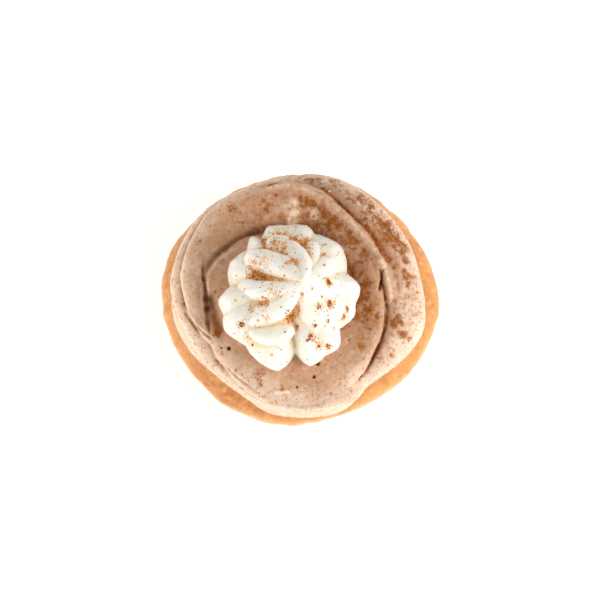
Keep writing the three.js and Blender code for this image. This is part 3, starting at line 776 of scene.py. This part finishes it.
def shade_bun(bun):
    points = points_of(bun)
    streaky = np.clip(1 + 1.8 * fractal(points, 1.3, 3, 361), 0, 1.8)
    set_share(bun, "painted_shade_under_cream", painted_shade_under_cream(points))
    set_share(bun, "dark_streaks", zone_share(points, seen_zones(points, BUN_STREAKS)) * streaky)


def shade_buttercream(cream):
    """Sets what its material reads, and gives back how thickly cinnamon lies on it."""
    points = points_of(cream)
    edge = from_edge(points)
    # The clump zones include three of painted shade between the rosette and the crest.
    zones = CREAM_DUST + seen_zones(points, CREAM_CLUMPS)
    dust = dust_share(cream, zones, CREAM_BASE_DUST, 0.7, 301) * (0.25 + 0.75 * smoothstep(0.5, 3.0, edge))
    # Browner inside the edge, partly cinnamon stain and partly painted shade of the inner slopes.
    inner_stain_and_shade = smoothstep(1.5, 10, edge + 2 * noise(points, 5, 351)) * (1 - zone_share(points, PALE_LIT_FLANK))
    ragged = 1 + 0.9 * fractal(points, 1.2, 3, 341)
    set_share(cream, "dust", dust)
    # Painted shade: darker brown in the folds and grooves, where shade falls.
    set_share(cream, "hollow", painted_fold_shade(points))
    set_share(cream, "inner_stain_and_shade", inner_stain_and_shade)
    # Pale: thin smears of cream, plus painted highlights on the ridges and the left lip.
    set_share(cream, "pale", np.maximum(zone_share(points, SMEARS_AND_LIP_HIGHLIGHT), painted_ridge_highlight(points)) * ragged)
    return dust


def shade_rosette(rosette):
    points, normals = points_of(rosette), normals_of(rosette)
    dust = dust_share(rosette, seen_zones(points, ROSETTE_STAINS), ROSETTE_BASE_DUST, 1.5, 311)
    # Painted shade: a warm tint in the rosette's folds, strongest on its left, away from the key light.
    left = 1 - 0.85 * smoothstep(4, 14, points[:, 0] - ROSETTE_CENTRE[0])
    deep = smoothstep(0.0, 0.8, hollow(points, 1.4, 1.0)) * smoothstep(0.3, 0.8, normals[:, 2])
    set_share(rosette, "dust", dust)
    set_share(rosette, "hollow", deep * left)
    return dust


def grain_points(centre, normal, size, rng):
    """Corners of a small uneven grain for each place, half sunk in the surface."""
    count = len(centre)
    across = np.cross(normal, rng.normal(size=(count, 3)))
    across /= np.linalg.norm(across, axis=1, keepdims=True)
    over = np.cross(normal, across)
    reach = size[:, None] * rng.uniform(0.6, 1.3, (count, 6))
    axes = [across, -across, over, -over, normal * 0.7, -normal * 0.7]
    corners = [centre + axis * reach[:, k, None] for k, axis in enumerate(axes)]
    return np.stack(corners, axis=1).reshape(-1, 3)


GRAIN_FACES = np.array([
    (0, 2, 4), (2, 1, 4), (1, 3, 4), (3, 0, 4), (2, 0, 5), (1, 2, 5), (3, 1, 5), (0, 3, 5),
])


def grains(name, centre, normal, size, seed):
    rng = np.random.default_rng(seed)
    points = grain_points(centre, normal, size, rng)
    faces = (GRAIN_FACES + 6 * np.arange(len(centre))[:, None, None]).reshape(-1, 3)
    return mesh_object(name, points, faces.tolist(), smooth=False)


# How many grains are large, and how many times larger
LARGE_SHARE, LARGE_SIZE = 0.08, 1.9


def scatter(name, surface, share, count, middle, seed):
    """Grains strewn over a surface in step with the share of it that they cover."""
    rng = np.random.default_rng(seed)
    points, normals = points_of(surface), normals_of(surface)
    weight = (share**1.3 + 0.01) * smoothstep(0.0, 0.5, normals[:, 2])
    chosen = rng.choice(len(points), count, replace=False, p=weight / weight.sum())
    size = middle * rng.lognormal(0, 0.35, count) * np.where(rng.random(count) < LARGE_SHARE, LARGE_SIZE, 1)
    return grains(name, points[chosen], normals[chosen], size, seed + 1)


def top_places(surface, places):
    """The highest point of a surface over each place, and the normal there."""
    points, normals = points_of(surface), normals_of(surface)
    found = []
    for x, y in places:
        near = np.flatnonzero(np.hypot(points[:, 0] - x, points[:, 1] - y) < 0.3)
        found.append(near[points[near, 2].argmax()])
    return points[found], normals[found]


FLECK_GRAINS = 7
FLECK_SPREAD = 0.28
FLECK_SIZE = 0.26


def make_flecks(surface):
    """Bits of bark, each a clump of a few grains."""
    rng = np.random.default_rng(401)
    middles = points_of(surface)[seen_points(points_of(surface), FLECKS), :2]
    strewn = rng.normal(0, FLECK_SPREAD, (FLECK_GRAINS * len(FLECKS), 2))
    places, normals = top_places(surface, np.repeat(middles, FLECK_GRAINS, axis=0) + strewn)
    size = FLECK_SIZE * rng.lognormal(0, 0.35, len(places))
    return grains("cinnamon_flecks", places, normals, size, 402)


# Dabs of whipped cream on the buttercream: place, half length, half width, height, turn
DABS = [
    (-5.0, -36.0, 2.6, 0.7, 0.35, 8), (-6.9, -35.8, 0.9, 0.8, 0.4, 20), (-18.3, -31.5, 1.2, 0.5, 0.35, -35),
    (-3.4, -36.2, 0.8, 0.5, 0.3, 0), (9.4, 29.4, 0.5, 0.4, 0.3, 30), (28.9, 17.4, 0.6, 0.4, 0.25, -60),
]
DAB_SIDES = 24


def make_dabs(surface):
    first, points, faces = 0, [], []
    bowl = np.linspace(-0.3 * pi, 0.46 * pi, 12)[:, None]
    around = 2 * pi * np.arange(DAB_SIDES) / DAB_SIDES
    tops, _ = top_places(surface, [row[:2] for row in DABS])
    for top, (_, _, length, width, height, turn) in zip(tops, DABS):
        ball = np.dstack([
            length * np.cos(bowl) * np.cos(around), width * np.cos(bowl) * np.sin(around),
            height * np.sin(bowl) * np.ones(DAB_SIDES),
        ])
        c, s = cos(radians(turn)), sin(radians(turn))
        ball = ball @ np.array([[c, s, 0], [-s, c, 0], [0, 0, 1]]) + top
        uneven = noise(ball.reshape(-1, 3), 0.7, 411).reshape(ball.shape[:2])[..., None]
        ball = top + (ball - top) * (1 + 0.35 * uneven)
        skin, skin_faces = ring_skin(ball, top - [0, 0, 0.3 * height], top + [0, 0, height])
        points.append(skin)
        faces += [tuple(v + first for v in face) for face in skin_faces]
        first += len(skin)
    return mesh_object("whipped_cream_dabs", np.vstack(points), faces)


# Materials

class Nodes:
    """A material's node tree, with short calls for what the materials here need."""

    def __init__(self, name):
        self.material = bpy.data.materials.new(name)
        self.material.use_nodes = True
        self.tree = self.material.node_tree
        self.shader = self.tree.nodes["Principled BSDF"]
        self.place = self.tree.nodes.new("ShaderNodeTexCoord").outputs["Object"]

    def add(self, kind, **settings):
        node = self.tree.nodes.new(kind)
        for key, value in settings.items():
            setattr(node, key, value)
        return node

    def link(self, source, target):
        self.tree.links.new(source, target)

    def put(self, **values):
        for key, value in values.items():
            self.shader.inputs[key.replace("_", " ")].default_value = value

    def noise(self, size, detail, rough):
        node = self.add("ShaderNodeTexNoise")
        node.inputs["Scale"].default_value = 1 / (size * MM)
        node.inputs["Detail"].default_value = detail
        node.inputs["Roughness"].default_value = rough
        self.link(self.place, node.inputs["Vector"])
        return node.outputs["Fac"]

    def ramp(self, value, low, high):
        node = self.add("ShaderNodeMapRange", interpolation_type="SMOOTHSTEP")
        node.inputs["From Min"].default_value = low
        node.inputs["From Max"].default_value = high
        self.link(value, node.inputs["Value"])
        return node.outputs["Result"]

    def attribute(self, name):
        return self.add("ShaderNodeAttribute", attribute_name=name).outputs["Fac"]

    def dusting(self, share, size, low, high, detail):
        """Soft noise spots that spread as the share goes up."""
        spread = self.math("ADD", self.noise(size, detail, 0.6), self.math("MULTIPLY", share, 0.3))
        return self.math("MULTIPLY", self.ramp(spread, low + 0.05, high + 0.05), self.ramp(share, 0.02, 0.3))

    def dots(self, share, cell, radius):
        """Soft round dots, at most one to a cell, in more of the cells as the share goes up."""
        node = self.add("ShaderNodeTexVoronoi")
        node.inputs["Scale"].default_value = 1 / (cell * MM)
        self.link(self.place, node.inputs["Vector"])
        split = self.add("ShaderNodeSeparateColor")
        self.link(node.outputs["Color"], split.inputs[0])
        reach = self.math("ADD", self.math("MULTIPLY", split.outputs[1], 0.6 * radius), 0.4 * radius)
        spot = self.ramp(self.math("DIVIDE", node.outputs["Distance"], reach), 1.1, 0.5)
        return self.math("MULTIPLY", spot, self.math("GREATER_THAN", share, split.outputs[0]))

    def band(self, level, reach, wobble):
        """A soft band round a height, with an uneven edge."""
        split = self.add("ShaderNodeSeparateXYZ")
        self.link(self.place, split.inputs[0])
        height = self.math("MULTIPLY", split.outputs["Z"], 1 / (reach * MM))
        off = self.math("ABSOLUTE", self.math("SUBTRACT", height, level / reach), 0)
        rough = self.math("MULTIPLY", self.noise(6, 3, 0.6), wobble)
        return self.ramp(self.math("ADD", off, rough), 1.1, 0.3)

    def math(self, operation, a, b):
        node = self.add("ShaderNodeMath", operation=operation)
        for value, socket in zip((a, b), node.inputs):
            if isinstance(value, (int, float)):
                socket.default_value = value
            else:
                self.link(value, socket)
        return node.outputs[0]

    def mix(self, fac, a, b):
        node = self.add("ShaderNodeMix", data_type="RGBA")
        self.set_or_link(fac, node.inputs[0])
        self.set_or_link(a, node.inputs[6])
        self.set_or_link(b, node.inputs[7])
        return node.outputs[2]

    def layered(self, colour, layers):
        """A colour under layers of share, the most that the layer covers, and its own colour."""
        for share, most, over in layers:
            colour = self.mix(self.math("MULTIPLY", share, most), colour, rgb(*over))
        self.link(colour, self.shader.inputs["Base Color"])

    def mottled(self, size, detail, rough, low, high, light, dark):
        return self.mix(self.ramp(self.noise(size, detail, rough), low, high), rgb(*light), rgb(*dark))

    def set_or_link(self, value, socket):
        if isinstance(value, bpy.types.NodeSocket):
            self.link(value, socket)
        else:
            socket.default_value = value

    def bump(self, height, strength, distance):
        node = self.add("ShaderNodeBump")
        node.inputs["Strength"].default_value = strength
        node.inputs["Distance"].default_value = distance * MM
        self.link(height, node.inputs["Height"])
        self.link(node.outputs["Normal"], self.shader.inputs["Normal"])


def rgb(red, green, blue):
    """A colour from its 0 to 255 screen values."""
    def linear(v):
        v /= 255
        return v / 12.92 if v <= 0.04045 else ((v + 0.055) / 1.055) ** 2.4
    return (linear(red), linear(green), linear(blue), 1)


def bun_material():
    n = Nodes("fried_dough")
    n.put(Roughness=0.4, Specular_IOR_Level=0.5, Subsurface_Weight=0.15, Subsurface_Scale=0.002)
    n.put(Subsurface_Radius=(1.0, 0.6, 0.3))
    n.layered(n.mottled(7, 4, 0.6, 0.35, 0.68, (227, 154, 72), (205, 128, 46)), [
        (n.band(WAIST_HEIGHT - 2, 6, 0.35), 0.7, (238, 198, 140)),
        (n.ramp(n.noise(1.6, 4, 0.65), 0.42, 0.75), 0.55, (248, 202, 146)),
        (n.ramp(n.noise(4, 5, 0.7), 0.54, 0.7), 0.6, (192, 112, 42)),
        (n.attribute("dark_streaks"), 0.9, (182, 104, 34)),
        # Painted shade where the bun runs under the buttercream's edge.
        (n.attribute("painted_shade_under_cream"), 0.5, (206, 134, 64)),
    ])
    n.bump(n.noise(0.5, 4, 0.6), 0.4, 0.3)
    return n.material


def buttercream_material():
    n = Nodes("cinnamon_buttercream")
    n.put(Roughness=0.45, Specular_IOR_Level=0.2, Subsurface_Weight=0.2, Subsurface_Scale=0.001)
    n.put(Subsurface_Radius=(1.0, 0.7, 0.5))
    dust, inner_stain_and_shade = n.attribute("dust"), n.attribute("inner_stain_and_shade")
    # Pale patches among the dust, partly bare cream and partly painted highlight, fewer inside the edge.
    bare_and_glint_patches = n.math("MULTIPLY", n.ramp(n.noise(3.6, 2, 0.55), 0.42, 0.62), n.ramp(dust, 0.08, 0.35))
    outer = n.math("SUBTRACT", 0.85, n.math("MULTIPLY", inner_stain_and_shade, 0.6))
    n.layered(n.mottled(8, 3, 0.6, 0.3, 0.7, (250, 224, 200), (240, 208, 180)), [
        # Browner inside the edge: partly cinnamon stain, partly painted shade.
        (inner_stain_and_shade, 0.85, (198, 149, 112)),
        (n.ramp(n.noise(2.6, 3, 0.55), 0.5, 0.7), 0.35, (240, 220, 208)),
        (n.ramp(n.noise(1.1, 3, 0.6), 0.4, 0.68), 0.25, (204, 146, 96)),
        # Painted shade in the folds and grooves.
        (n.attribute("hollow"), 0.9, (132, 82, 44)),
        (dust, 0.65, (166, 106, 58)),
        (n.math("MULTIPLY", bare_and_glint_patches, outer), 1, (240, 212, 190)),
        (n.dusting(dust, 3.2, 0.46, 0.72, 3), 0.85, (168, 98, 40)),
        (n.dusting(dust, 1.6, 0.5, 0.74, 3), 0.8, (142, 78, 26)),
        (n.dots(n.math("ADD", dust, 0.25), 1.5, 0.58), 0.55, (206, 130, 56)),
        (n.dots(n.math("ADD", dust, 0.4), 0.9, 0.56), 0.55, (198, 118, 46)),
        # Smeared cream, plus painted highlights on the ridges and the left lip.
        (n.attribute("pale"), 1, (252, 227, 196)),
    ])
    n.bump(n.noise(0.35, 4, 0.65), 0.4, 0.25)
    return n.material


def rosette_material():
    n = Nodes("whipped_cream")
    n.put(Roughness=0.4, Specular_IOR_Level=0.4, Subsurface_Weight=0.7, Subsurface_Scale=0.006)
    n.put(Subsurface_Radius=(1.0, 0.86, 0.7))
    dust = n.attribute("dust")
    n.layered(n.mottled(5, 3, 0.5, 0.3, 0.7, (255, 247, 237), (254, 242, 227)), [
        # Painted warm shade in the folds.
        (n.attribute("hollow"), 0.65, (255, 214, 150)),
        (dust, 0.6, (246, 190, 104)),
        (n.dusting(dust, 1.3, 0.5, 0.76, 1.5), 0.7, (234, 168, 74)),
        (n.dots(n.math("ADD", dust, 0.03), 1.4, 0.5), 0.7, (228, 154, 58)),
        (n.dots(n.math("MULTIPLY", dust, 2.2), 0.75, 0.5), 0.85, (178, 104, 28)),
    ])
    n.bump(n.noise(0.3, 3, 0.6), 0.15, 0.15)
    return n.material


def dab_material():
    n = Nodes("dabs_of_cream")
    n.put(Roughness=0.5, Specular_IOR_Level=0.3)
    n.layered(n.mottled(0.8, 2, 0.5, 0.35, 0.7, (250, 228, 204), (240, 206, 172)), [])
    n.bump(n.noise(0.3, 3, 0.6), 0.3, 0.15)
    return n.material


def spice_material(name, size, low, high, light, dark):
    n = Nodes(name)
    n.put(Roughness=0.9, Specular_IOR_Level=0.0)
    n.layered(n.mottled(size, 1, 0.5, low, high, light, dark), [])
    n.bump(n.noise(0.1, 1, 0.5), 0.1, 0.02)
    return n.material


# The stage

WORLD_LOW = 2.5
WORLD_OVERHEAD = 0.4
WORLD_BAND = 0.55  # sine of how high the low light reaches
WORLD_FRONT, WORLD_BACK = 0.9, 0.56  # how the low light falls from the camera's side to the far one
FLOOR_GLOW = 0.5


def look_at(obj, target):
    obj.rotation_euler = (target - obj.location).to_track_quat("-Z", "Y").to_euler()


def make_camera():
    data = bpy.data.cameras.new("camera")
    data.lens = LENS
    data.sensor_width = SENSOR
    data.clip_end = 10
    camera = bpy.data.objects.new("camera", data)
    bpy.context.scene.collection.objects.link(camera)
    back = Vector((0, -cos(radians(CAMERA_ELEVATION)), sin(radians(CAMERA_ELEVATION))))
    camera.location = (CAMERA_TARGET + back * CAMERA_DISTANCE) * MM
    look_at(camera, CAMERA_TARGET * MM)
    bpy.context.scene.camera = camera


def area_light(name, azimuth, elevation, distance, size, power, colour):
    data = bpy.data.lights.new(name, "AREA")
    data.shape = "DISK"
    data.size = size * MM
    data.energy = power
    data.color = colour
    light = bpy.data.objects.new(name, data)
    bpy.context.scene.collection.objects.link(light)
    a, e = radians(azimuth), radians(elevation)
    light.location = Vector((cos(a) * cos(e), sin(a) * cos(e), sin(e))) * distance * MM
    look_at(light, Vector((0, 0, 20)) * MM)


def make_world():
    """A white studio, brighter low down than overhead and in front than behind."""
    world = bpy.data.worlds.new("studio")
    world.use_nodes = True
    nodes, links = world.node_tree.nodes, world.node_tree.links
    split = nodes.new("ShaderNodeSeparateXYZ")
    links.new(nodes.new("ShaderNodeTexCoord").outputs["Generated"], split.inputs[0])

    def fall(axis, near, far, low, high):
        node = nodes.new("ShaderNodeMapRange")
        for name, value in (("From Min", near), ("From Max", far), ("To Min", low), ("To Max", high)):
            node.inputs[name].default_value = value
        links.new(split.outputs[axis], node.inputs["Value"])
        return node.outputs["Result"]

    level = nodes.new("ShaderNodeMath")
    level.operation = "MULTIPLY"
    links.new(fall("Z", 0, WORLD_BAND, WORLD_LOW, WORLD_OVERHEAD), level.inputs[0])
    links.new(fall("Y", -1, 1, WORLD_FRONT, WORLD_BACK), level.inputs[1])
    links.new(level.outputs[0], nodes["Background"].inputs["Strength"])
    nodes["Background"].inputs["Color"].default_value = (1, 1, 1, 1)
    bpy.context.scene.world = world


def make_floor():
    bpy.ops.mesh.primitive_plane_add(size=4, location=(0, 0, -0.0002))
    floor = bpy.context.object
    floor.name = "floor"
    n = Nodes("pale_floor")
    n.put(Roughness=0.9, Specular_IOR_Level=0.1, Emission_Color=(1, 1, 1, 1), Emission_Strength=FLOOR_GLOW)
    n.layered(n.mottled(60, 2, 0.5, 0.3, 0.7, (250, 250, 250), (247, 247, 247)), [])
    floor.data.materials.append(n.material)


def make_stage():
    make_floor()
    make_world()
    area_light("key", -15, 34, 700, 420, 3.0, (1.0, 0.98, 0.96))
    area_light("fill", 195, 20, 700, 500, 1.95, (1.0, 0.97, 0.95))
    view = bpy.context.scene.view_settings
    view.view_transform = "Standard"
    view.exposure = 0
    view.gamma = 1


def dress(obj, material, node=None):
    obj.data.materials.clear()
    obj.data.materials.append(material)
    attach(obj, "root")
    if node:
        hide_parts(node)


make_camera()
make_stage()
bun, cream, rosette = make_bun(), make_buttercream(), make_rosette()
shade_bun(bun)
cream_dust, rosette_dust = shade_buttercream(cream), shade_rosette(rosette)
cinnamon = spice_material("ground_cinnamon", 0.8, 0.4, 0.7, (220, 142, 58), (164, 94, 28))
bark = spice_material("cinnamon_bark", 0.5, 0.35, 0.65, (186, 96, 22), (132, 64, 12))
dress(scatter("cinnamon_on_buttercream", cream, cream_dust, 2400, 0.14, 321), cinnamon)
dress(scatter("cinnamon_on_rosette", rosette, rosette_dust, 1800, 0.13, 331), cinnamon)
dress(make_flecks(rosette), bark)
dress(make_dabs(cream), dab_material())
dress(bun, bun_material(), "bun")
dress(cream, buttercream_material(), "buttercream")
dress(rosette, rosette_material(), "cream_rosette")
